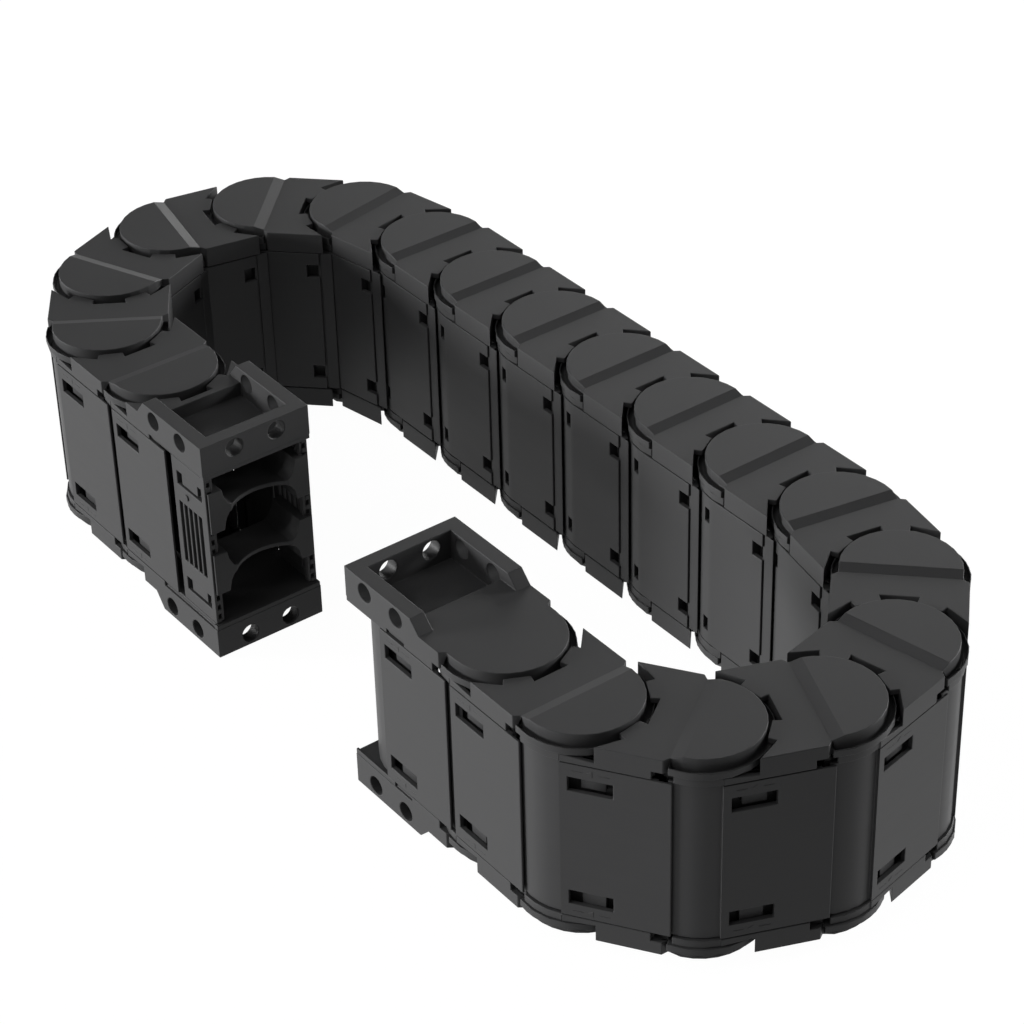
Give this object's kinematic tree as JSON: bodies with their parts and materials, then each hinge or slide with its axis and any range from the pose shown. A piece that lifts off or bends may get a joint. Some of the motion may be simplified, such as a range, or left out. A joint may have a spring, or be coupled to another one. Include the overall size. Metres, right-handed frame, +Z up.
{
  "type": "cable drag chain",
  "caption": "Enclosed cable drag chain lying on its side in a C, with hinged lidded links and a drilled bracket at each end.",
  "frame": {"origin": "centre of the underside of the box around the chain as it lies in the picture", "axes": "+X along the straight run, away from the moving end side, +Y from the end brackets towards the straight run, +Z up, along the hinge axes"},
  "size_m": [0.7334, 0.3042, 0.156],
  "materials": {
    "black_nylon": "matte, fine moulded grain"
  },
  "bodies": {
    "fixed_end": {"fixed_end_side_plates": "black_nylon", "fixed_end_lids": "black_nylon"},
    "link_18": {"link_18_side_plates": "black_nylon", "link_18_outer_lid": "black_nylon", "link_18_inner_lid": "black_nylon"},
    "link_17": {"link_17_side_plates": "black_nylon", "link_17_outer_lid": "black_nylon", "link_17_inner_lid": "black_nylon"},
    "link_16": {"link_16_side_plates": "black_nylon", "link_16_outer_lid": "black_nylon", "link_16_inner_lid": "black_nylon"},
    "link_15": {"link_15_side_plates": "black_nylon", "link_15_outer_lid": "black_nylon", "link_15_inner_lid": "black_nylon"},
    "link_14": {"link_14_side_plates": "black_nylon", "link_14_outer_lid": "black_nylon", "link_14_inner_lid": "black_nylon"},
    "link_13": {"link_13_side_plates": "black_nylon", "link_13_outer_lid": "black_nylon", "link_13_inner_lid": "black_nylon"},
    "link_12": {"link_12_side_plates": "black_nylon", "link_12_outer_lid": "black_nylon", "link_12_inner_lid": "black_nylon"},
    "link_11": {"link_11_side_plates": "black_nylon", "link_11_outer_lid": "black_nylon", "link_11_inner_lid": "black_nylon"},
    "link_10": {"link_10_side_plates": "black_nylon", "link_10_outer_lid": "black_nylon", "link_10_inner_lid": "black_nylon"},
    "link_09": {"link_09_side_plates": "black_nylon", "link_09_outer_lid": "black_nylon", "link_09_inner_lid": "black_nylon"},
    "link_08": {"link_08_side_plates": "black_nylon", "link_08_outer_lid": "black_nylon", "link_08_inner_lid": "black_nylon"},
    "link_07": {"link_07_side_plates": "black_nylon", "link_07_outer_lid": "black_nylon", "link_07_inner_lid": "black_nylon"},
    "link_06": {"link_06_side_plates": "black_nylon", "link_06_outer_lid": "black_nylon", "link_06_inner_lid": "black_nylon"},
    "link_05": {"link_05_side_plates": "black_nylon", "link_05_outer_lid": "black_nylon", "link_05_inner_lid": "black_nylon"},
    "link_04": {"link_04_side_plates": "black_nylon", "link_04_outer_lid": "black_nylon", "link_04_inner_lid": "black_nylon"},
    "link_03": {"link_03_side_plates": "black_nylon", "link_03_outer_lid": "black_nylon", "link_03_inner_lid": "black_nylon"},
    "link_02": {"link_02_side_plates": "black_nylon", "link_02_outer_lid": "black_nylon", "link_02_inner_lid": "black_nylon"},
    "link_01": {"link_01_side_plates": "black_nylon", "link_01_outer_lid": "black_nylon", "link_01_inner_lid": "black_nylon"},
    "moving_end": {"moving_end_side_plates": "black_nylon", "moving_end_lids": "black_nylon", "moving_end_comb_bars": "black_nylon", "moving_end_dividers": "black_nylon"}
  },
  "joints": [
    {"name": "pivot_19", "type": "hinge", "parent": "fixed_end", "child": "link_18", "pos_m": [0.17875, -0.11269, 0.078], "axis": [0, 0, -1], "range_deg": [-34, 0]},
    {"name": "pivot_18", "type": "hinge", "parent": "link_18", "child": "link_17", "pos_m": [0.24575, -0.11269, 0.078], "axis": [0, 0, -1], "range_deg": [-0.25, 33.75]},
    {"name": "pivot_17", "type": "hinge", "parent": "link_17", "child": "link_16", "pos_m": [0.30145, -0.07547, 0.078], "axis": [0, 0, -1], "range_deg": [-0.25, 33.75]},
    {"name": "pivot_16", "type": "hinge", "parent": "link_16", "child": "link_15", "pos_m": [0.32709, -0.01357, 0.078], "axis": [0, 0, 1], "range_deg": [-33.75, 0.25]},
    {"name": "pivot_15", "type": "hinge", "parent": "link_15", "child": "link_14", "pos_m": [0.31402, 0.05215, 0.078], "axis": [0, 0, 1], "range_deg": [-33.75, 0.25]},
    {"name": "pivot_14", "type": "hinge", "parent": "link_14", "child": "link_13", "pos_m": [0.26665, 0.09952, 0.078], "axis": [0, 0, 1], "range_deg": [-33.75, 0.25]},
    {"name": "pivot_13", "type": "hinge", "parent": "link_13", "child": "link_12", "pos_m": [0.20093, 0.11259, 0.078], "axis": [0, 0, -1], "range_deg": [-22.75, 11.25]},
    {"name": "pivot_12", "type": "hinge", "parent": "link_12", "child": "link_11", "pos_m": [0.13393, 0.11259, 0.078], "axis": [0, 0, -1], "range_deg": [-34, 0]},
    {"name": "pivot_11", "type": "hinge", "parent": "link_11", "child": "link_10", "pos_m": [0.06693, 0.11259, 0.078], "axis": [0, 0, -1], "range_deg": [-30, 0]},
    {"name": "pivot_10", "type": "hinge", "parent": "link_10", "child": "link_09", "pos_m": [-0.00007, 0.11259, 0.078], "axis": [0, 0, 1], "range_deg": [0, 30]},
    {"name": "pivot_09", "type": "hinge", "parent": "link_09", "child": "link_08", "pos_m": [-0.06707, 0.11259, 0.078], "axis": [0, 0, -1], "range_deg": [-34, 0]},
    {"name": "pivot_08", "type": "hinge", "parent": "link_08", "child": "link_07", "pos_m": [-0.13407, 0.11259, 0.078], "axis": [0, 0, 1], "range_deg": [0, 34]},
    {"name": "pivot_07", "type": "hinge", "parent": "link_07", "child": "link_06", "pos_m": [-0.20107, 0.11259, 0.078], "axis": [0, 0, 1], "range_deg": [-11.25, 22.75]},
    {"name": "pivot_06", "type": "hinge", "parent": "link_06", "child": "link_05", "pos_m": [-0.26678, 0.09952, 0.078], "axis": [0, 0, -1], "range_deg": [-0.25, 33.75]},
    {"name": "pivot_05", "type": "hinge", "parent": "link_05", "child": "link_04", "pos_m": [-0.31415, 0.05215, 0.078], "axis": [0, 0, -1], "range_deg": [-0.25, 33.75]},
    {"name": "pivot_04", "type": "hinge", "parent": "link_04", "child": "link_03", "pos_m": [-0.32723, -0.01357, 0.078], "axis": [0, 0, 1], "range_deg": [-33.75, 0.25]},
    {"name": "pivot_03", "type": "hinge", "parent": "link_03", "child": "link_02", "pos_m": [-0.30159, -0.07547, 0.078], "axis": [0, 0, 1], "range_deg": [-33.75, 0.25]},
    {"name": "pivot_02", "type": "hinge", "parent": "link_02", "child": "link_01", "pos_m": [-0.24588, -0.11269, 0.078], "axis": [0, 0, 1], "range_deg": [-33.75, 0.25]},
    {"name": "pivot_01", "type": "hinge", "parent": "link_01", "child": "moving_end", "pos_m": [-0.17888, -0.11269, 0.078], "axis": [0, 0, 1], "range_deg": [0, 34]}
  ]
}
